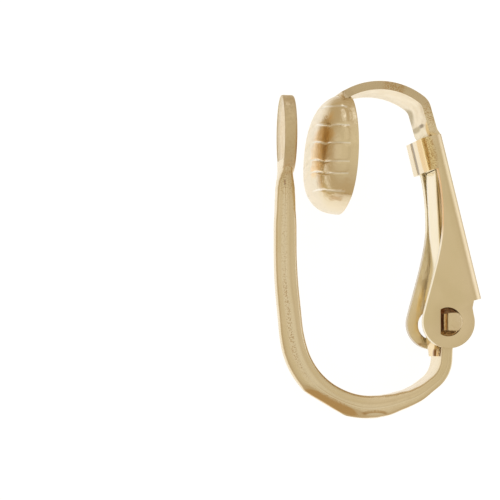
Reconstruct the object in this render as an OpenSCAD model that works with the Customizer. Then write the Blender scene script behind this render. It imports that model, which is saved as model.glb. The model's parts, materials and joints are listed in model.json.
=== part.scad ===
// Clip-on earring: a glue disc on a looped wire, with a hinged spring clip that has a ribbed pad.
// Each piece is drawn as it is worn: X to the side, Y to the rear and Z up, with the loop near Z = 0.
// The whole is then turned onto its side, as it lies by itself on a table.

/* [Glue disc] */
// Diameter of the disc that carries the ornament
disc_d = 4; // [3.8:0.1:4.2]
// Thickness of the disc
disc_t = 0.62; // [0.5:0.02:0.66]
// Height of the disc's centre
disc_z = 14.18; // [14:0.02:14.3]
// Distance of the disc's middle plane behind the stem's axis
disc_y = 0.1; // [0:0.02:0.14]
// Turn of the disc about the stem, in degrees
disc_turn = 3.5; // [0:0.5:6]

/* [Loop wire] */
// Thickness of the wire in the stem
wire_d = 1.12; // [1.04:0.02:1.2]
// Width of the flattened end below the hinge
strip_w = 2.4; // [2.2:0.1:2.6]
// Thickness of the flattened end
strip_t = 0.62; // [0.56:0.02:0.66]
// Width across the shoulders between the cheeks
shoulder_w = 2.8; // [2.6:0.05:2.85]

/* [Hinge] */
// Distance of the hinge axis behind the stem's axis
hinge_y = 8; // [7.98:0.01:8.02]
// Height of the hinge axis
hinge_z = 4.75; // [4.7:0.05:4.8]
// Radius of the hole in each cheek
hole_r = 0.72; // [0.7:0.01:0.76]
// Distance of the near hole's flat front side from the hinge axis
hole_flat = 0.5; // [0.49:0.01:0.56]
// Radius of the round back of the lugs that turn in the holes
lug_r = 0.58; // [0.52:0.01:0.6]
// Height of the lugs, which are flat above, below and in front
lug_h = 0.9; // [0.8:0.05:0.95]
// Length of each lug outside its cheek
lug_out = 0.2; // [0.1:0.05:0.3]

/* [Clip lever] */
// Thickness of the sheet that the lever is folded from
sheet_t = 0.42; // [0.4:0.01:0.44]
// Width over the two cheeks
lever_w = 3.9; // [3.85:0.05:4]
// Width of the arched strip over the ear lobe
arch_w = 3.1; // [2.8:0.1:3.3]
// Lean of the lever's back from the vertical, in degrees
back_lean = 13.7; // [13.5:0.1:13.9]
// Radius of the bends along the lever's back
bend_r = 0.5; // [0.45:0.05:0.6]
// Radius of the cheeks round the hinge
cheek_r = 1.31; // [1.25:0.01:1.35]
// Length of the collar that is folded over the leaf spring
collar_l = 1.65; // [1.4:0.05:1.8]
// Place of the collar's seam beside the middle
seam_x = -0.7; // [-0.9:0.1:0.9]

/* [Pressure pad] */
// Width of the oval pad
pad_w = 7.9; // [7.4:0.1:8.2]
// Height of the oval pad
pad_h = 6; // [5.8:0.05:6.1]
// Depth of the pad from its rim to its ribbed face
pad_depth = 1.66; // [1.4:0.02:1.8]
// Depth of the grooves between the ribs
groove_depth = 0.1; // [0.04:0.01:0.14]
// How far the ribs bow down towards the sides
rib_bow = 0.25; // [0:0.05:0.35]
// Lean of the pad's top to the rear, in degrees
pad_lean = 3; // [0:0.5:5]

/* [Leaf spring] */
// Width of the leaf spring
leaf_w = 2; // [1.6:0.1:2.2]
// Thickness of the leaf spring
leaf_t = 0.13; // [0.1:0.01:0.15]

/* [Hidden] */
gold = [0.83, 0.68, 0.42];
pale_gold = [0.93, 0.83, 0.63];
// Gap between pieces that lie on each other
seat = 0.02;
// Degrees of bend for each step of a bent strip's outline
bend_step = 4;
// Length by which joined solids run into each other
join = 0.1;
round_fn = 64;

// Bending tables have a row for each bend: [straight run before it, radius, turn to the left in degrees]
// The wire starts inside the disc, runs down the stem and round the loop, and ends just above the hinge
wire_start = [0, 12.9];
wire_heading = -90;
wire_bends = [
    [4.45, 25, 5.6],
    [1.5, 7, 9.1],
    [0, 3.9, 94],
    [0.6, 3.2, 19],
    [0.55, 1.55, 49.8],
    [2.12, 1, 0]];
// The wire's section has a row for each change: [distance along the wire, width, thickness, squareness]
wire_sections = [
    [0, 2.6, 0.5, 4],
    [0.55, 2, 0.56, 4],
    [0.85, 1.5, 0.7, 4],
    [1.1, 1.26, 0.82, 4],
    [1.5, 1.15, 0.92, 4.4],
    [2.3, wire_d, 0.98, 4.8],
    [3.4, wire_d, 0.97 * wire_d, 4.8],
    [8, wire_d, 1.02 * wire_d, 4.8],
    [9.8, wire_d, 1.09 * wire_d, 4.6],
    [12.6, wire_d, 1.08 * wire_d, 4.4],
    [14.8, wire_d, 1.02 * wire_d, 4.4],
    [15.4, 1.3, 1.08, 4.6],
    [16.2, 1.85, 0.92, 5],
    [16.9, 2.3, 0.78, 6],
    [17.8, strip_w, 1.03 * strip_t, 8],
    [18.6, strip_w, strip_t, 8],
    [19.9, strip_w, strip_t, 8],
    [20.2, 0.94 * shoulder_w, strip_t, 8],
    [20.5, shoulder_w, strip_t, 8],
    [21.25, shoulder_w, strip_t, 8],
    [21.4, 0.96 * shoulder_w, 0.94 * strip_t, 6],
    [21.58, 0.86 * shoulder_w, 0.6 * strip_t, 4]];
// Points round the wire, and distance between its rings
wire_sides = 28;
wire_step = 0.26;
// A flat is pressed on the loop's underside, through this point and square to this heading
flat_point = [0.9, 1.35];
flat_heading = 59.7;

// The lever's back is straight below this point of its rear face
back_top = [7.69, 14.18];
back_low_z = 5.82;
back_corner_y = 9.74;
cheek_centre_y = 7.94;
notch = [9.14, 5.45];
arch_bends = [
    [0.3, 2.25, 12.5],
    [1.3, 0.74, 31],
    [0, 3.47, 61],
    [0.35, 1, 0]];
// Centre of the pad's open rim
pad_rim = [2.97, 13.19];
// Heights of the grooves above the pad's centre, and half their width
grooves = [-1.95, -1.08, -0.48, 0.42, 1.25, 2.15];
groove_half = 0.09;
// Fullness of the pad's side view and of its section: more is boxier
pad_fullness = 2.6;
side_fullness = 4.4;
pad_columns = 20;
leaf_start_above = 0.28;
leaf_bends = [
    [1.6, 2.5, -11],
    [4.2, 3, -14],
    [1, 3.4, 13.5],
    [2.4, 1, 0]];

function polar(radius, angle) = radius * [cos(angle), sin(angle)];
function unit(v) = v / norm(v);
function total(list, i = 0) = i == len(list) ? 0 : list[i] + total(list, i + 1);

// [y, z, heading] at a distance along the line that a bending table makes
function place(table, start, heading, distance, row = 0) =
    let(run = table[row][0], radius = table[row][1], turn = table[row][2],
        side = turn < 0 ? -1 : 1,
        arc = radius * abs(turn) * PI / 180,
        foot = start + polar(run, heading),
        centre = foot + side * polar(radius, heading + 90),
        bent = heading + side * min(max(distance - run, 0), arc) / radius * 180 / PI,
        end = centre + side * polar(radius, bent - 90))
    distance <= run ? concat(start + polar(distance, heading), heading) :
    distance <= run + arc || row == len(table) - 1 ? concat(end, bent) :
    place(table, end, bent, distance - run - arc, row + 1);

// Length of the line that a bending table makes
function line_length(table) = total([for (r = table) r[0] + r[1] * abs(r[2]) * PI / 180]);

// Distances at which a bent strip's outline needs a point
function marks(table, distance = 0, row = 0) =
    row == len(table) ? [distance] :
    let(run = table[row][0], turn = abs(table[row][2]),
        arc = table[row][1] * turn * PI / 180,
        steps = ceil(turn / bend_step))
    concat(
        distance,
        run > 0 && turn > 0 ? distance + run : [],
        steps > 1 ? [for (k = [1:steps - 1]) distance + run + arc * k / steps] : [],
        marks(table, distance + run + arc, row + 1));

// Outline of a bent strip in the side view
function strip_outline(table, start, heading, thickness) =
    let(line = [for (s = marks(table)) place(table, start, heading, s)])
    concat(
        [for (p = line) [p[0], p[1]] + polar(thickness / 2, p[2] + 90)],
        [for (k = [len(line) - 1:-1:0]) [line[k][0], line[k][1]] + polar(thickness / 2, line[k][2] - 90)]);

// A cubic curve between two ends with two handles
function curve(a, b, c, d, steps = 12) =
    [for (k = [0:steps]) let(t = k / steps)
        pow(1 - t, 3) * a + 3 * pow(1 - t, 2) * t * b + 3 * (1 - t) * pow(t, 2) * c + pow(t, 3) * d];

// Extrudes a side view, drawn in Y and Z, to both sides of the middle plane
module across(width) {
    rotate([90, 0, 90]) linear_extrude(height = width, center = true) children();
}

// Puts what is drawn round the back's top point onto the leaning back, with Z along it and Y square to it
module on_back() {
    translate([0, back_top.x, back_top.y]) rotate([back_lean, 0, 0]) children();
}

// Point of a rounded section, whose sides grow flatter as the squareness grows
function rounded(size, squareness, ratio) = size / 2 * sign(ratio) * pow(abs(ratio), 2 / squareness);

// Moves what lies beyond the loop's pressed flat onto it
function pressed(p) =
    let(depth = (flat_point - [p.y, p.z]) * polar(1, flat_heading))
    depth > 0 ? p + depth * [0, cos(flat_heading), sin(flat_heading)] : p;

wire_length = line_length(wire_bends);
wire_rings = ceil(wire_length / wire_step);
wire_table = [for (column = [1:3]) [for (row = wire_sections) [row[0], row[column]]]];
wire_points = [
    for (ring = [0:wire_rings])
        let(s = wire_length * ring / wire_rings,
            at = place(wire_bends, wire_start, wire_heading, s),
            width = lookup(s, wire_table[0]),
            thickness = lookup(s, wire_table[1]),
            squareness = lookup(s, wire_table[2]))
        for (side = [0:wire_sides - 1])
            let(angle = 360 * (side + 0.5) / wire_sides,
                out = rounded(thickness, squareness, sin(angle)),
                middle = [at[0], at[1]] + polar(out, at[2] + 90))
            pressed([rounded(width, squareness, cos(angle)), middle.x, middle.y])];

module wire() {
    last = wire_rings * wire_sides;
    faces = concat(
        [[for (side = [wire_sides - 1:-1:0]) side]],
        [for (ring = [0:wire_rings - 1]) for (side = [0:wire_sides - 1])
            let(low = ring * wire_sides, next = (side + 1) % wire_sides)
            [low + side, low + next, low + wire_sides + next, low + wire_sides + side]],
        [[for (side = [0:wire_sides - 1]) last + side]]);
    polyhedron(points = wire_points, faces = faces, convexity = 6);
}

// The disc has a sharp front edge and a rounded rear edge
module disc() {
    rear_r = 0.2;
    r = disc_d / 2;
    front = disc_t / 2;
    translate([0, disc_y, disc_z])
        rotate([90, 0, -disc_turn])
            rotate_extrude($fn = 96)
                union() {
                    translate([0, rear_r - front]) square([r, disc_t - rear_r]);
                    translate([0, -front]) square([r - rear_r, disc_t]);
                    translate([r - rear_r, rear_r - front]) circle(rear_r, $fn = 32);
                }
}

// Lugs of the flattened end: round at the back and flat on the other sides
module lugs() {
    inner = shoulder_w / 2 - 0.3;
    length = lever_w / 2 + lug_out - inner;
    flat_y = -0.17;
    for (side = [-1, 1])
        translate([side * (inner + length / 2), hinge_y, hinge_z])
            intersection() {
                rotate([0, 90, 0]) cylinder(r = lug_r, h = length, center = true, $fn = round_fn);
                translate([-length, flat_y, -lug_h / 2]) cube([2 * length, 2, lug_h]);
            }
}

module ear_frame() {
    color(gold) {
        wire();
        disc();
        lugs();
    }
}

// Side view of the cheeks, open towards the back, which the folded section closes
function cheek_outline() =
    let(front_top = [7.4, 12.6], waist = [7.7, 9.8],
        centre = [cheek_centre_y, hinge_z],
        tangent = 166,
        meeting = centre + polar(cheek_r, tangent),
        last = asin((notch.y - 0.25 - hinge_z) / cheek_r))
    concat(
        [[front_top.x - 0.05, back_top.y]],
        curve(front_top, [7.62, 11.7], [waist.x, 10.7], waist),
        curve(waist, [waist.x, 8.4], meeting + polar(1.4, 90 - (180 - tangent)), meeting),
        [for (angle = [tangent + 6:6:360 + last]) centre + polar(cheek_r, angle)],
        [notch, [back_corner_y, back_low_z], [11, back_low_z], [11, back_top.y]]);

// Cross-section of the folded sheet: a channel, or a collar where it closes in front
module folded_section(depth) {
    half = lever_w / 2;
    for (side = [-1, 1]) {
        translate([side * (half - sheet_t / 2) - sheet_t / 2, -depth]) square([sheet_t, depth - bend_r]);
        difference() {
            translate([side * (half - bend_r), -bend_r]) circle(bend_r, $fn = round_fn);
            translate([sheet_t - half, -bend_r - 1]) square([lever_w - 2 * sheet_t, bend_r - sheet_t + 1]);
        }
    }
    translate([bend_r - half, -sheet_t]) square([lever_w - 2 * bend_r, sheet_t]);
}

module channel() {
    length = back_top.y;
    intersection() {
        on_back() translate([0, 0, -length]) linear_extrude(length - collar_l + join) folded_section(5);
        across(2 * lever_w) polygon(cheek_outline());
    }
}

module collar() {
    depth = 2 * sheet_t + leaf_t + 6 * seat;
    fold_r = 0.4;
    slit = 0.08;
    half = lever_w / 2;
    on_back() translate([0, 0, -collar_l]) linear_extrude(collar_l) {
        folded_section(depth - fold_r);
        difference() {
            union() {
                for (side = [-1, 1])
                    translate([side * (half - fold_r), fold_r - depth]) circle(fold_r, $fn = round_fn);
                translate([fold_r - half, -depth]) square([lever_w - 2 * fold_r, sheet_t]);
            }
            translate([sheet_t - half, sheet_t - depth]) square([lever_w - 2 * sheet_t, depth]);
            translate([seam_x - slit / 2, -2 * depth]) square([slit, 2 * depth]);
        }
    }
}

module arch() {
    start = back_top - polar(sheet_t / 2, back_lean) - polar(0.3, 90 + back_lean);
    end = place(arch_bends, start, 90 + back_lean, line_length(arch_bends));
    flare = 0.4;
    across(arch_w) polygon(strip_outline(arch_bends, start, 90 + back_lean, sheet_t));
    // Fillets where the strip widens into the pad
    translate([0, end[0], end[1]]) rotate([end[2], 0, 0])
        translate([0, 0, -sheet_t / 2]) linear_extrude(sheet_t)
            difference() {
                translate([-arch_w / 2 - flare, -flare]) square([arch_w + 2 * flare, flare]);
                for (side = [-1, 1])
                    translate([side * (arch_w / 2 + flare), -flare]) circle(flare, $fn = round_fn);
            }
}

// Height of each row of the pad's faces: close together at its ends and at each groove
pad_rows =
    let(b = pad_h / 2, last = len(grooves) - 1, ends = [0.02, 0.1, 0.3, 0.62])
    concat(
        [for (e = ends) (grooves[0] + b) * e - b],
        [for (g = [0:last])
            for (row = g < last
                ? let(rib = grooves[g + 1] - grooves[g] - 2 * groove_half)
                  [-groove_half, 0, groove_half, groove_half + rib / 3, groove_half + rib * 2 / 3]
                : [-groove_half, 0, groove_half])
                grooves[g] + row],
        [for (k = [len(ends) - 1:-1:0]) b - (b - grooves[last]) * ends[k]]);

function groove_at(z) = max([for (g = grooves) max(0, 1 - abs(z - g) / groove_half)]);

// A point of a dome over an oval, by its part of the height and its angle round its row
function dome_point(half_w, half_h, depth, part, angle, groove) =
    let(across_row = cos(angle),
        x = half_w * sqrt(1 - part * part) * across_row,
        up = pow(1 - pow(abs(part), pad_fullness), 1 / pad_fullness),
        out = pow(max(0, 1 - pow(abs(across_row), side_fullness)), 1 / side_fullness))
    [x,
     -depth * (1 - groove) * up * out,
     part * half_h - rib_bow * pow(x / half_w, 2) * (1 - part * part)];

function dome_points(half_w, half_h, depth, groove_part) =
    concat(
        [for (z = pad_rows) for (column = [0:pad_columns])
            dome_point(half_w, half_h, depth, 2 * z / pad_h, 180 * column / pad_columns,
                       groove_part * groove_at(z))],
        [[0, 0, -half_h], [0, 0, half_h]]);

pad_outer = dome_points(pad_w / 2, pad_h / 2, pad_depth, groove_depth / pad_depth);
pad_inner = dome_points(pad_w / 2 - sheet_t, pad_h / 2 - sheet_t, pad_depth - sheet_t, 0);

// Faces of a dome, turned outwards or inwards
function dome_faces(first, turned) =
    let(row_size = pad_columns + 1,
        rows = len(pad_rows),
        low = first + rows * row_size,
        high = low + 1,
        faces = concat(
            [for (row = [0:rows - 2]) for (c = [0:pad_columns - 1])
                let(a = first + row * row_size + c)
                [a, a + 1, a + row_size + 1, a + row_size]],
            [for (c = [0:pad_columns - 1]) [low, first + c + 1, first + c]],
            [for (c = [0:pad_columns - 1])
                let(a = first + (rows - 1) * row_size + c) [a, a + 1, high]]))
    turned ? [for (f = faces) [for (k = [len(f) - 1:-1:0]) f[k]]] : faces;

module pad() {
    row_size = pad_columns + 1;
    rows = len(pad_rows);
    count = len(pad_outer);
    // Indices round the rim: up one side and down the other
    rim = concat(
        [for (row = [0:rows - 1]) row * row_size],
        [rows * row_size + 1],
        [for (row = [rows - 1:-1:0]) row * row_size + pad_columns],
        [rows * row_size]);
    rim_faces = [for (k = [0:len(rim) - 1])
        let(a = rim[k], b = rim[(k + 1) % len(rim)])
        [a, b, b + count, a + count]];
    translate([0, pad_rim.x, pad_rim.y]) rotate([-pad_lean, 0, 0])
        polyhedron(
            points = concat(pad_outer, pad_inner),
            faces = concat(dome_faces(0, false), dome_faces(count, true), rim_faces),
            convexity = 6);
}

// The far hole is round, and the near one has a flat in front, with its back resting on the lug
module hinge_holes() {
    play = hole_r - lug_r - seat;
    translate([-lever_w / 2, hinge_y, hinge_z]) rotate([0, 90, 0])
        cylinder(r = hole_r, h = lever_w, center = true, $fn = round_fn);
    translate([lever_w / 2, hinge_y, hinge_z])
        intersection() {
            translate([0, -play, 0]) rotate([0, 90, 0])
                cylinder(r = hole_r, h = lever_w, center = true, $fn = round_fn);
            translate([-lever_w / 2, -hole_flat, -1]) cube([lever_w, 2, 2]);
        }
}

module clip_lever() {
    color(gold) {
        difference() {
            channel();
            hinge_holes();
        }
        collar();
        arch();
        pad();
    }
}

// The leaf lies on the inside of the back under the collar, and bows round the hinge to the wire's end
module leaf_spring() {
    inside = sheet_t + seat + leaf_t / 2;
    start = back_top - polar(inside, back_lean) + polar(leaf_start_above, 90 + back_lean);
    color(pale_gold)
        across(leaf_w) polygon(strip_outline(leaf_bends, start, back_lean - 90, leaf_t));
}

// Points that may touch the table or bound the whole, on the worn piece
pad_shape = [for (p = pad_outer)
    [p.x,
     pad_rim.x + p.y * cos(pad_lean) + p.z * sin(pad_lean),
     pad_rim.y + p.z * cos(pad_lean) - p.y * sin(pad_lean)]];
hinge_sides = [for (side = [-1, 1]) for (angle = [0:5:355])
    each [
        [side * lever_w / 2, cheek_centre_y + cheek_r * cos(angle), hinge_z + cheek_r * sin(angle)],
        [side * (lever_w / 2 + lug_out), hinge_y + lug_r * max(0, cos(angle)), hinge_z + 0.75 * lug_r * sin(angle)]]];
arch_top = [for (side = [-1, 1]) for (y = [4.2:0.1:5.2]) [side * arch_w / 2, y, 16.83]];
back_corners = [for (side = [-1, 1]) [side * (lever_w / 2 - 0.2), back_corner_y, back_low_z]];

function lowest(points, up) =
    let(heights = [for (p = points) p * up], least = min(heights))
    points[search(least, heights)[0]];

// The table touches the pad, a cheek or lug, and the wire: its normal is found by trying again and again
function resting(up, tries) =
    tries == 0 ? up :
    let(a = lowest(pad_shape, up), b = lowest(hinge_sides, up), c = lowest(wire_points, up))
    resting(unit(cross(b - a, c - a)) * sign(cross(b - a, c - a).x), tries - 1);

table_up = resting(unit([1, 0, 0.25]), 8);
// Two thirds of a turn about the diagonal bring the rear to +X, the top to +Y and the side to +Z
turned_up = [table_up.y, table_up.z, table_up.x];
lay_axis = unit(cross(turned_up, [0, 0, 1]));
lay_angle = acos(turned_up.z);

// Where a point of the worn piece comes to, before the origin is moved under the whole
function laid(p) =
    let(q = [p.y, p.z, p.x], k = lay_axis)
    q * cos(lay_angle) + cross(k, q) * sin(lay_angle) + k * (k * q) * (1 - cos(lay_angle));

outer_points = [for (p = concat(pad_shape, hinge_sides, wire_points, arch_top, back_corners)) laid(p)];
low_corner = [for (i = [0:2]) min([for (p = outer_points) p[i]])];
high_corner = [for (i = [0:2]) max([for (p = outer_points) p[i]])];

module lie_down() {
    translate([-(low_corner.x + high_corner.x) / 2, -(low_corner.y + high_corner.y) / 2, -low_corner.z])
        rotate(a = lay_angle, v = lay_axis)
            rotate(a = 240, v = [1, 1, 1])
                children();
}

lie_down() ear_frame();
lie_down() clip_lever();
lie_down() leaf_spring();
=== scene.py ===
# %% [markdown]
# # A gold clip-on earring finding
# The finding is a glue disc on a looped wire, with a hinged clip whose ribbed pad presses on the ear lobe from
# behind. The imported CAD model is loaded first. It fixes where everything is, and the pieces made here are finer
# versions of its three solids.

# %% Load the frame
import json
import math
import bmesh
import bpy
from mathutils import Matrix, Vector


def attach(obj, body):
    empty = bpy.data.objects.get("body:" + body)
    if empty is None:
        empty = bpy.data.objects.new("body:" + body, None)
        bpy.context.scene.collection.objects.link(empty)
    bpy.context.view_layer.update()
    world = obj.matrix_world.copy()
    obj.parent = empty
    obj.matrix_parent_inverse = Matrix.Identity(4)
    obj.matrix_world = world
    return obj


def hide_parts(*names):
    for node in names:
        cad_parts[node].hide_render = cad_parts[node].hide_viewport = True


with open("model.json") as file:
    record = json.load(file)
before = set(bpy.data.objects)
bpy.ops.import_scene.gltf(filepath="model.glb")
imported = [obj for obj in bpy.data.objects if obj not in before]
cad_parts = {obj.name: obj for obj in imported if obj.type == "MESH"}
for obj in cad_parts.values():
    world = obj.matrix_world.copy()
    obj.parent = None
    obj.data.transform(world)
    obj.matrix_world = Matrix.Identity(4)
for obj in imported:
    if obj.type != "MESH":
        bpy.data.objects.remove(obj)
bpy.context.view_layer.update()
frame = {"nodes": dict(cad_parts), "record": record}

print("CAD nodes:", ", ".join(sorted(frame["nodes"])))

# %% [markdown]
# ## Worn and lying
# The pieces are easier to draw as the earring is worn: X to the side, Y to the rear and Z up, in millimetres. The
# earring lies on its side in the CAD model, so each piece is drawn as worn and then laid down by one matrix. The
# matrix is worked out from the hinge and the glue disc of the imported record, so that it always fits the CAD.

# %% Matrix from the worn drawing to the table
MM = 0.001
HINGE_Y, HINGE_Z = 8.0, 4.75
DISC_Z, DISC_TURN = 14.18, math.radians(3.5)
# How far the lever's back leans forward, in degrees
BACK_LEAN = 13.7

hinge = frame["record"]["behaviour"]["joints"][0]
glue_face = frame["record"]["mounts"][0]
side = -Vector(hinge["axis"]).normalized()
rear = -(Vector(glue_face["axis"]) + side * math.sin(DISC_TURN)) / math.cos(DISC_TURN)
rear = (rear - side * rear.dot(side)).normalized()
top = side.cross(rear)
turn = Matrix((side, rear, top)).transposed()
origin = Vector(hinge["pos_m"]) - turn @ Vector((0, HINGE_Y, HINGE_Z)) * MM
LAY = Matrix.Translation(origin) @ (turn * MM).to_4x4()
print("the worn origin lies at", [round(v / MM, 2) for v in origin], "mm")


# %% [markdown]
# ## Bent lines
# Wire and sheet are bent from straight stock, so both are drawn as a bending table: a straight run, then a bend of
# some radius and angle. One function walks along such a table and says where the line is and which way it heads.

# %% Walk along a bending table
def polar(radius, degrees):
    return Vector((radius * math.cos(math.radians(degrees)), radius * math.sin(math.radians(degrees))))


def along(table, start, heading, distance):
    """(point, heading) at a distance along the bent line."""
    foot = Vector(start)
    for row, (run, radius, angle) in enumerate(table):
        last = row == len(table) - 1
        if distance <= run:
            return foot + polar(distance, heading), heading
        foot = foot + polar(run, heading)
        distance -= run
        arc = radius * math.radians(abs(angle))
        way = -1 if angle < 0 else 1
        centre = foot + way * polar(radius, heading + 90)
        bend = way * math.degrees(min(distance, arc) / radius)
        foot = centre + way * polar(radius, heading + bend - 90)
        if distance <= arc or last:
            return foot, heading + bend
        heading += angle
        distance -= arc
    return foot, heading


def length_of(table):
    return sum(run + radius * math.radians(abs(angle)) for run, radius, angle in table)


def steps_along(table, spacing):
    """Evenly spaced distances from the line's start to its end."""
    whole = length_of(table)
    count = max(1, round(whole / spacing))
    return [whole * k / count for k in range(count + 1)]


def lookup(rows, distance, column):
    """Value of a column between the rows of a table whose first column is a distance."""
    if distance <= rows[0][0]:
        return rows[0][column]
    for low, high in zip(rows, rows[1:]):
        if distance <= high[0]:
            part = (distance - low[0]) / (high[0] - low[0])
            part = part * part * (3 - 2 * part)
            return low[column] + (high[column] - low[column]) * part
    return rows[-1][column]


WIRE_START, WIRE_HEADING = (0, 12.9), -90
WIRE_BENDS = [(4.45, 25, 5.6), (1.5, 7, 9.1), (0, 3.9, 94), (0.6, 3.2, 19), (0.55, 1.55, 49.8), (2.12, 1, 0)]
print("wire length", round(length_of(WIRE_BENDS), 2), "mm")

# %% [markdown]
# ## Gold
# Gold plate is a metal, so its look is nearly all reflection: a base colour, a roughness and a fine bump. The real
# finding is stamped and tumbled before it is plated, and that leaves a skin of tiny waves and specks, a little
# duller in some patches. Noise at three scales drives bump, roughness and tint. The first cell holds small helpers
# that add nodes. One of them, spot, marks an ellipsoid, for what belongs to one place; most such places carry
# painted shade, highlights and reflections in the base colour.

# %% Node helpers
GRAIN_SCALE, RAGGED_SCALE, TINT_SCALE, DULL_SCALE = 15000, 2600, 420, 1500


def link(tree, a, b):
    tree.links.new(a, b)


def node_kit(tree):
    """Small helpers that add nodes to one node tree and return their output sockets."""
    place = tree.nodes.new("ShaderNodeTexCoord")

    def noise(scale, detail, rough=0.5):
        node = tree.nodes.new("ShaderNodeTexNoise")
        node.inputs["Scale"].default_value = scale
        node.inputs["Detail"].default_value = detail
        node.inputs["Roughness"].default_value = rough
        link(tree, place.outputs["Object"], node.inputs["Vector"])
        return node.outputs["Fac"]

    def ramp(source, stops):
        node = tree.nodes.new("ShaderNodeValToRGB")
        while len(node.color_ramp.elements) < len(stops):
            node.color_ramp.elements.new(0.5)
        for element, (at, value) in zip(node.color_ramp.elements, stops):
            element.position = at
            element.color = (*value, 1) if isinstance(value, tuple) else (value, value, value, 1)
        link(tree, source, node.inputs["Fac"])
        return node.outputs["Color"]

    def sums(operation, a, b):
        node = tree.nodes.new("ShaderNodeMath")
        node.operation = operation
        for socket, value in zip(node.inputs, (a, b)):
            if isinstance(value, (int, float)):
                socket.default_value = value
            else:
                link(tree, value, socket)
        return node.outputs[0]

    def spot(centre, radii, tilt=0, soft=0.25, ragged=0.0, of="worn"):
        """1 inside an ellipsoid and 0 outside. tilt turns it about its X axis, and of names the coordinates that
        it is placed in: the worn millimetres, or what the wire or the pad stores."""
        stored = tree.nodes.new("ShaderNodeAttribute")
        stored.attribute_name = of
        node = tree.nodes.new("ShaderNodeMapping")
        node.vector_type = "TEXTURE"
        node.inputs["Location"].default_value = centre
        node.inputs["Rotation"].default_value = (math.radians(tilt), 0, 0)
        node.inputs["Scale"].default_value = radii
        link(tree, stored.outputs["Vector"], node.inputs["Vector"])
        size = tree.nodes.new("ShaderNodeVectorMath")
        size.operation = "LENGTH"
        link(tree, node.outputs["Vector"], size.inputs[0])
        reach = size.outputs["Value"]
        if ragged:
            uneven = sums("SUBTRACT", noise(RAGGED_SCALE, 3, 0.6), 0.5)
            reach = sums("ADD", reach, sums("MULTIPLY", uneven, ragged))
        fall = tree.nodes.new("ShaderNodeMapRange")
        fall.interpolation_type = "SMOOTHSTEP"
        for name, value in (("From Min", 1 + soft), ("From Max", 1 - soft), ("To Min", 0), ("To Max", 1)):
            fall.inputs[name].default_value = value
        link(tree, reach, fall.inputs["Value"])
        return fall.outputs["Result"]

    def mix(factor, a, b):
        node = tree.nodes.new("ShaderNodeMix")
        node.data_type = "RGBA"
        link(tree, factor, node.inputs["Factor"])
        for socket, value in ((node.inputs[6], a), (node.inputs[7], b)):
            if isinstance(value, tuple):
                socket.default_value = (*value, 1)
            else:
                link(tree, value, socket)
        return node.outputs[2]

    return noise, ramp, sums, spot, mix


print("noise, ramp, sums, spot and mix add nodes")


# %% Gold material
def gold(name, colour, roughness, ripple=0.15, ripple_scale=900, specks=0.0, speck_scale=5200, tint=0.06,
         marks_and_painted_light=(), pits=(), dents=()):
    """A plated metal. ripple is the strength of the tumbled waves and specks that of the pits between them.
    The marks of one place, stains and painted shade, highlights and reflections, are (ellipsoid, colour, amount),
    pits (ellipsoid, share of the skin, colour, amount) and dents (ellipsoid, strength), where an ellipsoid is what
    spot takes."""
    mat = bpy.data.materials.new(name)
    mat.use_nodes = True
    tree = mat.node_tree
    shader = tree.nodes["Principled BSDF"]
    shader.inputs["Metallic"].default_value = 1.0
    noise, ramp, sums, spot, mix = node_kit(tree)

    dull = tuple(c * (1 - tint) for c in colour[:2]) + (colour[2] * (1 - 2.2 * tint),)
    paint = ramp(noise(TINT_SCALE, 3), [(0.3, dull), (0.68, colour)])
    # Marks of one place: a few stains, and painted shade, painted highlights and painted reflections
    for shape, overlay, amount in marks_and_painted_light:
        paint = mix(sums("MULTIPLY", spot(**shape), amount), paint, overlay)
    for shape, share, overlay, amount in pits:
        grains = ramp(noise(GRAIN_SCALE, 2, 0.7), [(share, amount), (share + 0.06, 0.0)])
        paint = mix(sums("MULTIPLY", spot(**shape), grains), paint, overlay)
    link(tree, paint, shader.inputs["Base Color"])
    link(tree, ramp(noise(DULL_SCALE, 4), [(0.3, roughness * 0.8), (0.7, min(1, roughness * 1.25))]),
         shader.inputs["Roughness"])

    def bump(height, strength, depth, under=None):
        node = tree.nodes.new("ShaderNodeBump")
        node.inputs["Strength"].default_value = strength
        node.inputs["Distance"].default_value = depth
        link(tree, height, node.inputs["Height"])
        if under:
            link(tree, under, node.inputs["Normal"])
        return node.outputs["Normal"]

    normal = bump(noise(ripple_scale, 2), ripple, 0.04 * MM)
    if specks:
        normal = bump(ramp(noise(speck_scale, 3, 0.6), [(0.36, 0.0), (0.5, 1.0)]), specks, 0.03 * MM, normal)
    for shape, strength in dents:
        normal = bump(sums("SUBTRACT", 1, spot(**shape)), strength, 0.1 * MM, normal)
    link(tree, normal, shader.inputs["Normal"])
    print("gold:", name)
    return mat


GOLD, PALE, ORANGE = (0.92, 0.81, 0.62), (0.97, 0.88, 0.70), (1.0, 0.69, 0.30)
TAUPE, AMBER, SHADE = (0.28, 0.21, 0.12), (0.90, 0.68, 0.30), (0.50, 0.41, 0.22)
LIGHT, DULL, TAWNY = (1.0, 0.93, 0.77), (0.82, 0.71, 0.53), (0.86, 0.64, 0.36)
YELLOW, BROWN, DEEP = (0.92, 0.70, 0.36), (0.55, 0.34, 0.13), (0.26, 0.10, 0.035)
OCHRE, YOLK, HONEY = (0.80, 0.56, 0.24), (1.0, 0.86, 0.52), (1.0, 0.80, 0.40)
# A radius that takes in the whole width of a piece
ALL = 90
print("gold makes a plated metal from these colours")
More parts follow.
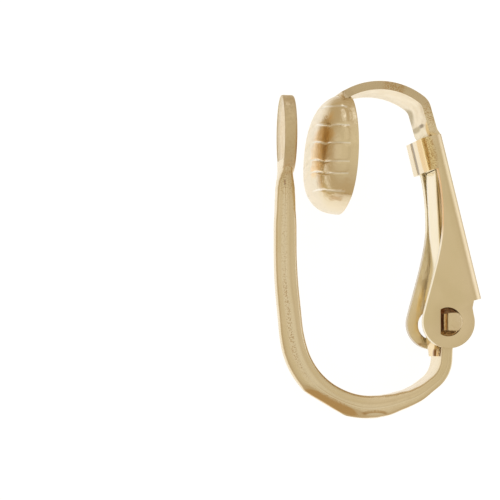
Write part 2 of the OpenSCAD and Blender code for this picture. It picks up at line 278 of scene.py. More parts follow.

# %% [markdown]
# Each piece gets its own mix. The wire stores coordinates of its own, so that a stripe follows its bends: how far
# behind the crease, how far along the wire and how far to the side. The first and last are shares of half its
# section. The crease runs down each side, with stripes along it of painted highlight and painted shade, and a
# grain of light and brown specks.

# %% Golds of the frame
wire_gold = gold(
    "wire_gold", GOLD, 0.22, 0.14, 1000, 0.12, 4200,
    marks_and_painted_light=[
        # Stripes along the crease: the light ones are painted highlights, the dull and brown ones painted shade
        (dict(of="wire", centre=(-0.12, 6, 0), radii=(0.26, 5, ALL), soft=0.4, ragged=0.5), LIGHT, 0.8),
        (dict(of="wire", centre=(0, 9, 0), radii=(0.07, 8, ALL), soft=0.6), LIGHT, 0.9),
        (dict(of="wire", centre=(0.42, 8, 0), radii=(0.1, 9, ALL), soft=0.6), DULL, 0.7),
        (dict(of="wire", centre=(0.22, 11, 0), radii=(0.2, 4, ALL), soft=0.5), LIGHT, 0.6),
        (dict(of="wire", centre=(0.72, 8, 0), radii=(0.1, 9, ALL), soft=0.6), LIGHT, 0.3),
        (dict(of="wire", centre=(1.06, 11, 0), radii=(0.09, 3.4, ALL), soft=0.3), BROWN, 0.6),
        # Painted shade on the slanted facet, and on the shallow mark beside it painted shade above and a painted
        # highlight below
        (dict(centre=(0.3, 2.3, 0.72), radii=(0.5, 1.5, 0.27), tilt=-26, soft=0.1, ragged=0.2),
         (0.76, 0.55, 0.29), 0.95),
        (dict(centre=(0.5, 4.45, 0.22), radii=(0.6, 0.6, 0.15), soft=0.2, ragged=0.2), BROWN, 0.7),
        (dict(centre=(0.5, 4.5, 0.12), radii=(0.6, 0.5, 0.1), soft=0.2), LIGHT, 0.8),
        # Two pricks below the disc
        (dict(centre=(0.6, -0.11, 11.72), radii=(0.3, 0.05, 0.16), soft=0.3, ragged=0.8), DEEP, 0.7),
        # Painted shade behind the edges of the holes
        (dict(centre=(0, HINGE_Y - 0.1, HINGE_Z), radii=(2, 0.6, 0.8), soft=0.1), DEEP, 0.9)],
    pits=[
        # Grain of the crease
        (dict(of="wire", centre=(-0.05, 8, 0), radii=(0.35, 9, ALL), soft=0.4), 0.52, LIGHT, 0.7),
        (dict(of="wire", centre=(-0.14, 8.5, 0), radii=(0.22, 2.6, ALL), soft=0.4), 0.42, BROWN, 0.6),
        (dict(of="wire", centre=(-0.1, 3.5, 0), radii=(0.3, 5, ALL), soft=0.4), 0.4, BROWN, 0.35),
        # Grain below the disc and down the wire's front
        (dict(centre=(0.6, 0.1, 11.8), radii=(0.6, 0.6, 0.7), soft=0.6), 0.42, BROWN, 0.5),
        (dict(of="wire", centre=(-0.9, 7, 0), radii=(0.4, 6.5, 0.3), soft=0.4), 0.5, LIGHT, 0.7),
        (dict(of="wire", centre=(-0.9, 7, 0), radii=(0.4, 6.5, 0.25), soft=0.4), 0.42, BROWN, 0.6)],
    dents=[(dict(of="wire", centre=(0.02, 8, 0), radii=(0.06, 9, ALL), soft=0.8), 0.35)])
lug_gold = gold(
    "lug_gold", GOLD, 0.4, 0.6, 3000, 0.6, 4200,
    marks_and_painted_light=[
        # Painted shade round the lug in the cheek's hole: dark in front of it, above and below, and a lighter
        # tawny by the hole's edge
        (dict(centre=(1.4, HINGE_Y - 0.4, HINGE_Z), radii=(0.2, 0.25, 3), soft=0.1), DEEP, 0.9),
        (dict(centre=(1.4, HINGE_Y, HINGE_Z + 0.65), radii=(0.2, 0.6, 0.25), soft=0.1), DEEP, 0.8),
        (dict(centre=(1.4, HINGE_Y, HINGE_Z - 0.65), radii=(0.2, 0.6, 0.25), soft=0.1, ragged=1), BROWN, 0.8),
        (dict(centre=(1.85, HINGE_Y - 0.1, HINGE_Z - 0.2), radii=(0.1, 0.5, 0.7), soft=0.1, ragged=0.6),
         TAWNY, 0.8)])
# The disc's gold is darker than the frame's, which paints shade on its rim band; its glue face and the part under
# the stem are painted lighter
disc_gold = gold(
    "disc_gold", (0.81, 0.70, 0.51), 0.35, 0.15, 1000, 0.5, 9000,
    marks_and_painted_light=[
        # The face that takes glue, painted lighter as a painted reflection
        (dict(centre=(0, -0.35, DISC_Z), radii=(1.86, 0.22, 1.86), soft=0.1), (1.0, 0.88, 0.64), 0.9),
        # Painted light where the stem is pressed on
        (dict(centre=(0.6, 0.1, 12.25), radii=(1.3, 0.6, 0.75), soft=1, ragged=0.3), (1.0, 0.90, 0.72), 1.0)],
    pits=[
        (dict(centre=(0, -0.35, DISC_Z), radii=(1.8, 0.22, 1.8), soft=0.15), 0.42, BROWN, 0.7),
        (dict(centre=(0.6, 0.1, 12.2), radii=(1.2, 0.6, 0.5), soft=0.6), 0.42, BROWN, 0.6)])

# %% [markdown]
# The lever has three golds: one for the outside of its sheet, one for the inside, lighter than the outside to lift
# the shade inside the channel, and one for the cut edges. The wall of a sheet keeps the coordinates of its
# outside, so a painted mark on the inside is placed where the outside is.

# %% Golds of the lever
stamped_gold = gold(
    "stamped_gold", GOLD, 0.2, 0.07, 1300, 0.06,
    marks_and_painted_light=[
        # Painted shade along the collar's seam, and on its near side painted reflections in amber and ochre bands,
        # with a painted highlight at the corner
        (dict(centre=(-0.52, 6.8, 13.2), radii=(0.26, 0.4, 2), tilt=BACK_LEAN, soft=0.4, ragged=0.2), TAUPE, 1.0),
        (dict(centre=(1.22, 6.75, 13.3), radii=(0.72, 0.7, 1.4), tilt=BACK_LEAN, soft=0.2, ragged=0.4),
         AMBER, 1.0),
        (dict(centre=(0.95, 6.75, 13.3), radii=(0.4, 0.7, 1.4), tilt=BACK_LEAN, soft=0.3, ragged=0.4),
         OCHRE, 0.8),
        (dict(centre=(1.9, 6.8, 13.3), radii=(0.35, 0.4, 1.4), tilt=BACK_LEAN, soft=0.3, ragged=0.4), YOLK, 0.9)],
    pits=[(dict(centre=(2, 7.05, 13.3), radii=(0.6, 0.26, 1), tilt=BACK_LEAN, soft=0.3), 0.45, BROWN, 0.7)])
edge_gold = gold(
    "edge_gold", PALE, 0.2, 0.2, 1300, 0.2,
    marks_and_painted_light=[
        # Painted shade on the near hole's edge and a painted reflection round the far one; painted shade on the
        # far cheek's lower edge and a painted golden reflection on the near cheek's front edge
        (dict(centre=(2, HINGE_Y - 0.12, HINGE_Z), radii=(1, 0.9, 0.9), soft=0.05), DEEP, 0.9),
        (dict(centre=(-2, HINGE_Y, HINGE_Z), radii=(1, 0.9, 0.9), soft=0.05), TAWNY, 0.9),
        (dict(centre=(-2, 6.9, 6.5), radii=(0.8, 1.2, 3.6), soft=0.2), (0.62, 0.54, 0.42), 0.9),
        (dict(centre=(2, 7.5, 11.0), radii=(1, 0.6, 1.9), soft=0.3, ragged=0.4), (0.72, 0.42, 0.13), 0.9),
        # The edges of the arch
        (dict(centre=(1.9, 6.95, 14.5), radii=(0.6, 0.28, 0.33), soft=0.2, ragged=0.8), TAWNY, 0.8),
        (dict(centre=(0, 4.5, 17), radii=(9, 4, 2.2), soft=0.3), (0.74, 0.635, 0.47), 1.0)],
    pits=[
        (dict(centre=(1.5, 5.3, 16.6), radii=(1, 0.55, 0.6), soft=0.4), 0.5, BROWN, 0.7),
        (dict(centre=(1.5, 7.2, 15.2), radii=(1, 0.4, 0.7), soft=0.4), 0.44, BROWN, 0.6)])
# The inside's gold is lighter than the outside's, which paints light into the shade inside the channel
inner_gold = gold(
    "inner_gold", (1.0, 0.92, 0.75), 0.35, 0.2, 1300, 0.2,
    marks_and_painted_light=[
        # Painted reflections inside the back and the far cheek: golden on the back wall and honey round the far
        # hole, with brown lines of painted shade below it
        (dict(centre=(0, 8.7, 11), radii=(1.7, 0.8, 4), soft=0.3), (1.0, 0.82, 0.50), 1.0),
        (dict(centre=(-1.6, 7.93, 4.7), radii=(0.6, 1.08, 1.14), soft=0.12, ragged=0.3), HONEY, 0.9),
        (dict(centre=(-1.6, 7.3, 5.9), radii=(0.6, 0.14, 0.8), tilt=-12, soft=0.5, ragged=0.6), HONEY, 0.9),
        (dict(centre=(-1.6, 6.70, 4.15), radii=(0.6, 0.09, 0.2), tilt=16, soft=0.4, ragged=1.2), BROWN, 0.7),
        (dict(centre=(-1.6, 7.28, 3.7), radii=(0.6, 0.14, 0.1), soft=0.4, ragged=1.2), BROWN, 0.6),
        # Inside the arch, kept a pale gold, and above the collar: an amber painted reflection, a painted shadow in
        # the gap and painted shade on the far edge
        (dict(centre=(0, 5, 17), radii=(9, 9, 2.4), soft=0.05), PALE, 1.0),
        (dict(centre=(1.55, 7.45, 14.45), radii=(0.6, 0.4, 0.4), soft=0.2, ragged=0.8), AMBER, 0.9),
        (dict(centre=(0.3, 7.4, 14.82), radii=(0.5, 0.4, 0.09), soft=0.5, ragged=1.2), TAUPE, 0.9),
        (dict(centre=(-1.4, 7.1, 15.6), radii=(0.75, 0.5, 0.6), soft=0.4), SHADE, 0.9),
        (dict(centre=(-0.9, 7.4, 14.75), radii=(0.9, 0.4, 0.14), soft=0.4, ragged=0.3), SHADE, 0.8)])

# %% [markdown]
# The pad's ribs carry painted orange reflections, with small patches of painted shade between them and at the
# lower edge. The pad stores how far each point is from the nearest groove, and that draws a painted highlight
# along the grooves.

# %% Golds of the pad and the leaf
# Where orange reflections are painted on the ribs
RIB_REFLECTIONS = [((3.1, 1.5, 14.95), (0.8, 0.4, 0.42)), ((2.3, 1.45, 13.9), (1.4, 0.4, 0.42)),
               ((1.6, 1.4, 13.1), (1.3, 0.4, 0.7)), ((1.1, 1.4, 12.3), (1, 0.4, 0.35))]
pad_gold = gold(
    "pad_gold", GOLD, 0.18, 0.2, 1000, 0.2,
    marks_and_painted_light=[(dict(centre=at, radii=radii, soft=0.5, ragged=1.2), ORANGE, 0.9) for at, radii in RIB_REFLECTIONS] + [
        # Painted shade between the ribs and at the pad's lower edge
        (dict(centre=(1.8, 1.55, 11.8), radii=(0.5, 0.3, 0.5), soft=0.5, ragged=1.4), BROWN, 0.6),
        (dict(centre=(2.9, 1.55, 13.6), radii=(0.5, 0.3, 1.4), soft=0.6, ragged=1.6), BROWN, 0.45),
        (dict(centre=(2, 2.2, 10.85), radii=(0.6, 0.3, 0.14), soft=0.5, ragged=1.6), BROWN, 0.7),
        # A painted highlight along the grooves
        (dict(of="groove", centre=(0, 0, 2.2), radii=(0.05, 0.03, 2.4), soft=0.4), (1.0, 0.97, 0.88), 0.9)])
hollow_gold = gold("hollow_gold", GOLD, 0.3, 0.14, 1300, 0.12)
bright_gold = gold(
    "bright_gold", PALE, 0.14, 0.12, 800,
    marks_and_painted_light=[
        # Painted reflection across the leaf's tip, and painted shade in the dark corner beside it
        (dict(centre=(0, 7.6, 3.35), radii=(2, 0.5, 0.55), soft=0.2, ragged=0.5), YELLOW, 0.8),
        (dict(centre=(0.7, 7.6, 3.2), radii=(0.4, 0.4, 0.22), soft=0.3, ragged=0.5), DEEP, 0.8)])


# %% [markdown]
# ## From drawing to piece
# Each piece starts as a bmesh in worn millimetres. What grows step by step is made by a helper that extrudes
# edges. A second helper lays the piece down, gives it its material, lets it ride on its CAD body and adds the
# modifiers: a wall for sheet metal, a small bevel for the edges that catch the light, and normals weighted by face
# size, so that flats stay flat next to a bevel.

# %% Helpers for every piece
def grow(bm, edges):
    """Extrudes edges where they are, and returns the new points and the new edges between them."""
    made = bmesh.ops.extrude_edge_only(bm, edges=edges)["geom"]
    verts = [g for g in made if isinstance(g, bmesh.types.BMVert)]
    members = set(verts)
    return verts, [g for g in made if isinstance(g, bmesh.types.BMEdge) and members.issuperset(g.verts)]


def finish_piece(bm, name, mat, body, wall=0.0, edge=0.0, segments=3, angle=35, inner=None, rim=None):
    """Lays a drawn piece down. wall and edge are the sheet's thickness and the bevel's width in millimetres."""
    worn = bm.verts.layers.float_vector.get("worn") or bm.verts.layers.float_vector.new("worn")
    for v in bm.verts:
        v[worn] = v.co
    bmesh.ops.transform(bm, matrix=LAY, verts=bm.verts)
    mesh = bpy.data.meshes.new(name)
    bm.to_mesh(mesh)
    bm.free()
    mesh.materials.append(mat)
    mesh.shade_smooth()
    piece = bpy.data.objects.new(name, mesh)
    bpy.context.collection.objects.link(piece)
    if wall:
        shell = piece.modifiers.new("sheet", "SOLIDIFY")
        shell.thickness = wall * MM
        shell.offset = -1
        shell.use_even_offset = True
        if inner:
            mesh.materials.append(inner)
            mesh.materials.append(rim)
            shell.material_offset = 1
            shell.material_offset_rim = 2
    if edge:
        bevel = piece.modifiers.new("edges", "BEVEL")
        bevel.width = edge * MM
        bevel.segments = segments
        bevel.limit_method = "ANGLE"
        bevel.angle_limit = math.radians(angle)
    if wall or edge:
        weighted = piece.modifiers.new("flats", "WEIGHTED_NORMAL")
        weighted.weight = 80
        weighted.keep_sharp = True
    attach(piece, body)
    print(name, "has", len(mesh.vertices), "points before its modifiers")
    return piece


print("pieces are laid", round(origin.z / MM, 2), "mm above the table, measured at the worn origin")

# %% [markdown]
# ## Loop wire
# The stem, the loop and the flattened end are one wire. A circle of points is extruded ring by ring along the
# bending table, and each ring is squeezed to the section that the wire has there: a near-round stem, a flat tongue
# behind the disc, and a wide strip with shoulders under the hinge.

# %% Sections of the wire
WIRE = 1.12
STRIP_W, STRIP_T, SHOULDER_W = 2.4, 0.62, 2.8
# Distance along the wire, width, thickness, squareness
WIRE_SECTIONS = [
    (0, 2.6, 0.5, 4), (0.55, 2, 0.56, 4), (0.85, 1.5, 0.7, 4), (1.1, 1.26, 0.82, 4), (1.5, 1.15, 0.92, 4.4),
    (2.3, WIRE, 0.98, 4.8), (3.4, WIRE, 0.97 * WIRE, 4.8), (8, WIRE, 1.02 * WIRE, 4.8),
    (9.8, WIRE, 1.09 * WIRE, 4.6), (12.6, WIRE, 1.08 * WIRE, 4.4), (14.8, WIRE, 1.02 * WIRE, 4.4),
    (15.4, 1.3, 1.08, 4.6), (16.2, 1.85, 0.92, 5), (16.9, 2.3, 0.78, 6), (17.8, STRIP_W, 1.03 * STRIP_T, 8),
    (18.6, STRIP_W, STRIP_T, 8), (19.9, STRIP_W, STRIP_T, 8), (20.2, 0.94 * SHOULDER_W, STRIP_T, 8),
    (20.5, SHOULDER_W, STRIP_T, 8), (21.25, SHOULDER_W, STRIP_T, 8),
    (21.4, 0.96 * SHOULDER_W, 0.94 * STRIP_T, 6), (21.58, 0.86 * SHOULDER_W, 0.6 * STRIP_T, 4)]
WIRE_SIDES, STEM_SQUARE = 56, 4.6
# Distance along the wire, and how far the crease lies from the middle of its side
CREASE = [(0, -0.1), (6, -0.15), (9, -0.05), (13, -0.1)]
# Distance along the wire, and how much its side falls away in front of the crease
CREASE_FALL = [(0, 0), (2, 0.1), (5, 0.2), (14, 0.24), (15.5, 0)]
FLAT_POINT, FLAT_HEADING = Vector((0.9, 1.35)), 59.7
FACET_POINT, FACET_HEADING, FACET_TILT = Vector((0.5, 2.4, 0.98)), 64.3, math.radians(44)


def rounded(size, squareness, ratio):
    """Point of a rounded section, whose sides grow flatter as the squareness grows."""
    return size / 2 * math.copysign(abs(ratio) ** (2 / squareness), ratio)


def wire_point(distance, angle):
    """Point on the wire's skin: how far along it, and at what angle round it."""
    middle, heading = along(WIRE_BENDS, WIRE_START, WIRE_HEADING, distance)
    width, thickness, squareness = (lookup(WIRE_SECTIONS, distance, k) for k in (1, 2, 3))
    out = middle + polar(rounded(thickness, squareness, math.sin(angle)), heading + 90)
    # The loop's underside is pressed flat, as if it was held in a vice
    depth = (FLAT_POINT - out).dot(polar(1, FLAT_HEADING))
    if depth > 0:
        out = out + polar(depth, FLAT_HEADING)
    # The sides fall away a little in front of their crease, and a slanted facet takes off the near lower edge
    crease = lookup(CREASE, distance, 1)
    beyond = max(0.0, crease - rounded(2, squareness, math.sin(angle)))
    x = rounded(width, squareness, math.cos(angle))
    x -= math.copysign(min(abs(x), lookup(CREASE_FALL, distance, 1) * beyond * thickness / 2), x)
    point = Vector((x, out.x, out.y))
    inwards = polar(math.cos(FACET_TILT), FACET_HEADING)
    inwards = Vector((-math.sin(FACET_TILT), inwards.x, inwards.y))
    return point + inwards * max(0.0, (FACET_POINT - point).dot(inwards))


print("the wire has", len(WIRE_SECTIONS), "sections")

# %% Sweep the wire
wire = bmesh.new()
turn_of = wire.verts.layers.int.new("turn")
own_place = wire.verts.layers.float_vector.new("wire")
ring = bmesh.ops.create_circle(wire, segments=WIRE_SIDES, radius=1, cap_ends=False)["verts"]
for k, vert in enumerate(ring):
    vert[turn_of] = k
ring_edges = wire.edges[:]
for n, distance in enumerate(steps_along(WIRE_BENDS, 0.11)):
    if n:
        ring, ring_edges = grow(wire, ring_edges)
    for vert in ring:
        angle = 2 * math.pi * (vert[turn_of] + 0.5) / WIRE_SIDES
        vert.co = wire_point(distance, angle)
        behind = rounded(2, STEM_SQUARE, math.sin(angle)) - lookup(CREASE, distance, 1)
        vert[own_place] = (behind, distance, rounded(2, STEM_SQUARE, math.cos(angle)))
rims = [e for e in wire.edges if e.is_boundary]
bmesh.ops.holes_fill(wire, edges=rims, sides=WIRE_SIDES)
bmesh.ops.recalc_face_normals(wire, faces=wire.faces)
loop_wire = finish_piece(wire, "loop_wire", wire_gold, "frame", edge=0.05, segments=2, angle=60)

# %% [markdown]
# ## Hinge lugs
# The flattened end carries a lug at each side, which turns in the hole of a cheek. Its back is round and its other
# sides are flat. The outline is drawn once as a face and extruded outwards, and the other lug is its mirror image.

# %% Lugs
LUG_R, LUG_FLAT_Y, LUG_HALF_H = 0.58, -0.17, 0.45
LUG_IN, LUG_OUT = 1.1, 2.15
SHOULDER_X, SHOULDER_R, SHOULDER_T = 1.31, 0.74, 0.3
STEP_T = 0.4

lugs = bmesh.new()
high_angle = math.degrees(math.asin(LUG_HALF_H / LUG_R))
outline = [(LUG_FLAT_Y, -LUG_HALF_H)]
outline += [tuple(polar(LUG_R, -high_angle + 2 * high_angle * k / 16)) for k in range(17)]
outline += [(LUG_FLAT_Y, LUG_HALF_H)]
face = lugs.faces.new([lugs.verts.new((LUG_IN, HINGE_Y + y, HINGE_Z + z)) for y, z in outline])
grown = bmesh.ops.extrude_face_region(lugs, geom=[face])["geom"]
outer_points = [g for g in grown if isinstance(g, bmesh.types.BMVert)]
bmesh.ops.translate(lugs, vec=(LUG_OUT - LUG_IN, 0, 0), verts=outer_points)
bmesh.ops.mirror(lugs, geom=lugs.verts[:] + lugs.edges[:] + lugs.faces[:], axis="X", merge_dist=0.0)
# A shoulder behind the near hole closes the view into the channel
bmesh.ops.create_cone(lugs, cap_ends=True, segments=48, radius1=SHOULDER_R, radius2=SHOULDER_R, depth=SHOULDER_T,
                      matrix=Matrix.Translation((SHOULDER_X, HINGE_Y - 0.08, HINGE_Z))
                      @ Matrix.Rotation(math.pi / 2, 4, "Y"))
# Two small steps beside the lug: one in front of it, and one below it that stays out of the hole
for out, y, z, wide, high in ((1.82, -0.23, 0, 0.16, 0.86), (1.5, 0.08, -0.53, 0.6, 0.14)):
    bmesh.ops.create_cube(lugs, size=1, matrix=Matrix.Translation((out - STEP_T / 2, HINGE_Y + y, HINGE_Z + z))
                          @ Matrix.Diagonal((STEP_T, wide, high, 1)))
bmesh.ops.recalc_face_normals(lugs, faces=lugs.faces)
hinge_lugs = finish_piece(lugs, "hinge_lugs", lug_gold, "frame", edge=0.09)

# %% [markdown]
# ## Glue disc
# The disc is turned: its half section is drawn as a line and spun about the axis. The front keeps a narrow rim
# that stands a little proud of the face, so that glue stays on it, and the back edge is rounded.

# %% Spin the disc
DISC_D, DISC_T, DISC_Y = 4.0, 0.62, 0.1
REAR_R = 0.12

disc = bmesh.new()
r, front = DISC_D / 2, DISC_T / 2
half_section = [(0, -front + 0.03), (r * 0.5, -front + 0.03), (r - 0.13, -front + 0.03), (r - 0.1, -front + 0.005),
                (r - 0.05, -front), (r - 0.015, -front + 0.015), (r, -front + 0.05), (r, 0)]
half_section += [(r - REAR_R + REAR_R * math.cos(a), front - REAR_R + REAR_R * math.sin(a))
                 for a in [math.pi / 2 * k / 8 for k in range(9)]]
half_section += [(r * 0.5, front), (0, front)]
points = [disc.verts.new((x, y, 0)) for x, y in half_section]
line = [disc.edges.new(pair) for pair in zip(points, points[1:])]
bmesh.ops.spin(disc, geom=points + line, cent=(0, 0, 0), axis=(0, 1, 0), angle=2 * math.pi, steps=120,
               use_merge=True, use_duplicate=False, dvec=(0, 0, 0))
bmesh.ops.remove_doubles(disc, verts=disc.verts, dist=0.0005)
bmesh.ops.recalc_face_normals(disc, faces=disc.faces)
bmesh.ops.transform(disc, verts=disc.verts,
                    matrix=Matrix.Translation((0, DISC_Y, DISC_Z)) @ Matrix.Rotation(-DISC_TURN, 4, "Z"))
glue_disc = finish_piece(disc, "glue_disc", disc_gold, "frame")
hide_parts("ear_frame")
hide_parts("ear_frame")
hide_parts("ear_frame")

# %% [markdown]
# ## Clip lever
# The lever is folded from one sheet, so it is made in the same order. A cheek is cut out with its hinge hole, and
# its rear edge is spun a quarter turn to make the bend. The bend's edge is drawn to the middle, and the whole is
# mirrored into a channel. The near hole has a flat front side, and the far one is round. At the top the front
# edges are folded the same way into a collar, and the back runs on as a narrower strip that arches over the lobe.

# %% Sizes of the lever
SHEET, LEAF_T = 0.42, 0.13
HALF_W, BEND_R = 1.95, 0.5
BACK_TOP = Vector((7.69, 14.18))
# The collar holds two walls and the leaf, with a little play
COLLAR_L, COLLAR_DEPTH, FOLD_R = 1.65, 2 * SHEET + LEAF_T + 0.12, 0.4
HOLE_R, HOLE_FLAT = 0.72, 0.5
HOLE_PLAY = HOLE_R - LUG_R - 0.02
FAR_SHIFT, FAR_GROWTH = 0.06, 1.05
CHEEK_Y, CHEEK_R, CHEEK_TANGENT = 7.94, 1.31, 166
NOTCH = Vector((9.14, 5.45))
BACK_LOW_Z = 5.82
UP = polar(1, 90 + BACK_LEAN)
FORWARD = -polar(1, BACK_LEAN)


def on_back(height, depth):
    """(Y, Z) of a point by its height along the leaning back from its top, and its depth in front of the back."""
    return BACK_TOP + UP * height + FORWARD * depth


def cubic(a, b, c, d, steps=14):
    return [a * (1 - t) ** 3 + b * 3 * (1 - t) ** 2 * t + c * 3 * (1 - t) * t * t + d * t ** 3
            for t in [k / steps for k in range(steps + 1)]]


print("the hinge has", round(HOLE_PLAY, 2), "mm of play")

# %% Cut out a cheek
centre = Vector((CHEEK_Y, HINGE_Z))
meeting = centre + polar(CHEEK_R, CHEEK_TANGENT)
waist = Vector((7.70, 9.80))
last_angle = 360 + math.degrees(math.asin((NOTCH.y - 0.25 - HINGE_Z) / CHEEK_R))
rear_low = (BACK_LOW_Z - BACK_TOP.y) / UP.y + 0.12
cheek_line = [on_back(0, COLLAR_DEPTH - FOLD_R), on_back(-COLLAR_L, COLLAR_DEPTH - FOLD_R)]
cheek_line += cubic(Vector((7.40, 12.52)), Vector((7.62, 11.7)), Vector((waist.x, 10.7)), waist)
cheek_line += cubic(waist, Vector((waist.x, 8.4)), meeting + polar(1.4, 90 - (180 - CHEEK_TANGENT)), meeting)[1:]
cheek_line += [centre + polar(CHEEK_R, a) for a in range(CHEEK_TANGENT + 5, int(last_angle), 5)]
cheek_line += [NOTCH, on_back(rear_low, BEND_R), on_back(-COLLAR_L, BEND_R), on_back(0, BEND_R)]

lever = bmesh.new()
rim = [lever.verts.new((HALF_W, p.x, p.y)) for p in cheek_line]
rim_edges = [lever.edges.new(pair) for pair in zip(rim, rim[1:] + rim[:1])]
hole = bmesh.ops.create_circle(lever, segments=72, radius=HOLE_R, cap_ends=False,
                               matrix=Matrix.Translation((HALF_W, HINGE_Y - HOLE_PLAY, HINGE_Z))
                               @ Matrix.Rotation(math.pi / 2, 4, "Y"))
round_hole = {}
for v in hole["verts"]:
    way = v.co - Vector((HALF_W, HINGE_Y - HOLE_PLAY, HINGE_Z))
    v.co.y = max(v.co.y, HINGE_Y - HOLE_FLAT)
    round_hole[round(v.co.y, 4), round(v.co.z, 4)] = way
hole_edges = list({e for v in hole["verts"] for e in v.link_edges})
bmesh.ops.triangle_fill(lever, use_beauty=True, use_dissolve=False, edges=rim_edges + hole_edges, normal=(1, 0, 0))
print("cheek outline of", len(cheek_line), "points")

# %% Fold the back and mirror it
back_axis = Vector((0, UP.x, UP.y))
rear_edges = rim_edges[-3:-1]


def fold(edges, axis_point, angle, steps):
    """Spins edges about the back's direction, and returns the edges at the end of the fold."""
    geom = list({v for e in edges for v in e.verts}) + edges
    end = bmesh.ops.spin(lever, geom=geom, cent=axis_point, axis=back_axis, angle=angle, steps=steps,
                         use_merge=False, use_duplicate=False, dvec=(0, 0, 0))["geom_last"]
    return [g for g in end if isinstance(g, bmesh.types.BMEdge)]


def stretch(edges, offset):
    """Extrudes edges sideways, and returns the new far edges."""
    verts, far_edges = grow(lever, edges)
    bmesh.ops.translate(lever, vec=offset, verts=verts)
    return far_edges


bend_centre = on_back(0, BEND_R)
bent = fold(rear_edges, (HALF_W - BEND_R, bend_centre.x, bend_centre.y), math.pi / 2, 8)
stretch(bent, (BEND_R - HALF_W, 0, 0))
bmesh.ops.mirror(lever, geom=lever.verts[:] + lever.edges[:] + lever.faces[:], axis="X", merge_dist=0.0)
bmesh.ops.remove_doubles(lever, verts=lever.verts, dist=0.001)
for v in lever.verts:
    way = round_hole.get((round(v.co.y, 4), round(v.co.z, 4)))
    if way and v.co.x < 0:
        v.co = Vector((v.co.x, HINGE_Y - FAR_SHIFT, HINGE_Z - FAR_SHIFT)) + way * FAR_GROWTH
print("the channel has", len(lever.faces), "faces")

# %% Fold the collar
SEAM_X, SLIT = -0.7, 0.08
front_foot = on_back(0, COLLAR_DEPTH - FOLD_R)
low_foot = on_back(-COLLAR_L, COLLAR_DEPTH - FOLD_R)
for way in (1, -1):
    edge = next(e for e in lever.edges
                if all(abs(v.co.x - way * HALF_W) < 1e-4 for v in e.verts)
                and any((Vector((v.co.y, v.co.z)) - front_foot).length < 1e-3 for v in e.verts)
                and any((Vector((v.co.y, v.co.z)) - low_foot).length < 1e-3 for v in e.verts))
    ends = fold([edge], (way * (HALF_W - FOLD_R), front_foot.x, front_foot.y), -way * math.pi / 2, 8)
    stretch(ends, (SEAM_X + way * SLIT / 2 - way * (HALF_W - FOLD_R), 0, 0))
print("with its collar the lever has", len(lever.faces), "faces")

# %% [markdown]
# The arch grows out of the top edge of the back: the edge is extruded step by step along the arch's bending table,
# which starts a little below that edge. The strip narrows from the back to its own width, and at its end it
# widens again where it runs into the pad.

# %% Draw the arch from the back's top edge
ARCH_BENDS = [(0.1, 0.75, 26), (0.0, 0.75, -24), (1.038, 0.74, 37.88), (0, 3.47, 64.62), (0.35, 1, 0)]
ARCH_HALF, ARCH_SUNK = 1.55, 0.3
arch_start = BACK_TOP - polar(SHEET / 2, BACK_LEAN) - polar(ARCH_SUNK, 90 + BACK_LEAN)
arch_length = length_of(ARCH_BENDS)
ARCH_WIDTHS = [(ARCH_SUNK, HALF_W - BEND_R), (0.75, ARCH_HALF), (arch_length - 0.55, ARCH_HALF),
               (arch_length - 0.2, ARCH_HALF + 0.05), (arch_length, ARCH_HALF + 0.15)]
top_edges = [e for e in lever.edges
             if all((Vector((v.co.y, v.co.z)) - BACK_TOP).length < 1e-3
                    and abs(v.co.x) < HALF_W - BEND_R + 1e-3 for v in e.verts)]
print("the arch starts from", len(top_edges), "edges")
for distance in [d for d in steps_along(ARCH_BENDS, 0.1) if d > ARCH_SUNK + 0.04]:
    middle, heading = along(ARCH_BENDS, arch_start, 90 + BACK_LEAN, distance)
    outer = middle + polar(SHEET / 2, heading - 90)
    verts, top_edges = grow(lever, top_edges)
    half = lookup(ARCH_WIDTHS, distance, 1)
    for v in verts:
        v.co = (math.copysign(half, v.co.x) if abs(v.co.x) > 0.1 else 0, outer.x, outer.y)
bmesh.ops.recalc_face_normals(lever, faces=lever.faces)
cheek_face = max(lever.faces, key=lambda f: f.calc_center_median().x * 10 + f.calc_area())
if cheek_face.normal.x < 0:
    bmesh.ops.reverse_faces(lever, faces=lever.faces)
clip_lever = finish_piece(lever, "lever_sheet", stamped_gold, "clip", wall=SHEET, edge=0.07,
                          inner=inner_gold, rim=edge_gold)

# %% [markdown]
# ## Pressure pad
# The pad is a shallow oval dome of the same sheet, with seven raised ribs that stop short of a plain rim. A grid
# is shaped into the dome row by row, and the rows bow down towards the sides. Where a point lies inside a rib it
# is raised, and the rise falls off smoothly to the rib's rounded outline, so the light rolls over the ribs as it
# does over pressed metal.

# %% Ribs and rows of the pad
PAD_W, PAD_H, PAD_DEPTH, PAD_LEAN, PAD_WALL = 7.9, 6.0, 1.66, 3, 0.36
PAD_FULLNESS, SIDE_FULLNESS, RIB_BOW = 2.6, 3.4, 0.34
PAD_RIM = Vector((0, 2.97, 13.19))
GROOVES = [-1.92, -1.0, -0.4, 0.5, 1.36, 2.25]
RIB_RISE, RIB_SLOPE, RIB_CORNER, RIB_FOOT = 0.05, 0.08, 0.25, 0.42
BOW_X, FLANGE, CURVE_STEPS = 2.8, 0.16, 400


def ease(part):
    part = min(1.0, max(0.0, part))
    return part * part * (3 - 2 * part)


def rib_rise(height, z):
    """How far the skin stands out at a height above the rim: a flange at the rim, then the end of a rib."""
    to_groove = min(abs(z - g) for g in GROOVES)
    to_end = height - RIB_FOOT
    inside = min(to_groove, to_end)
    if to_groove < RIB_CORNER and 0 < to_end < RIB_CORNER:
        inside = RIB_CORNER - math.hypot(RIB_CORNER - to_groove, RIB_CORNER - to_end)
    return RIB_RISE * max(ease(inside / RIB_SLOPE), ease(2 * (FLANGE - height) / FLANGE))


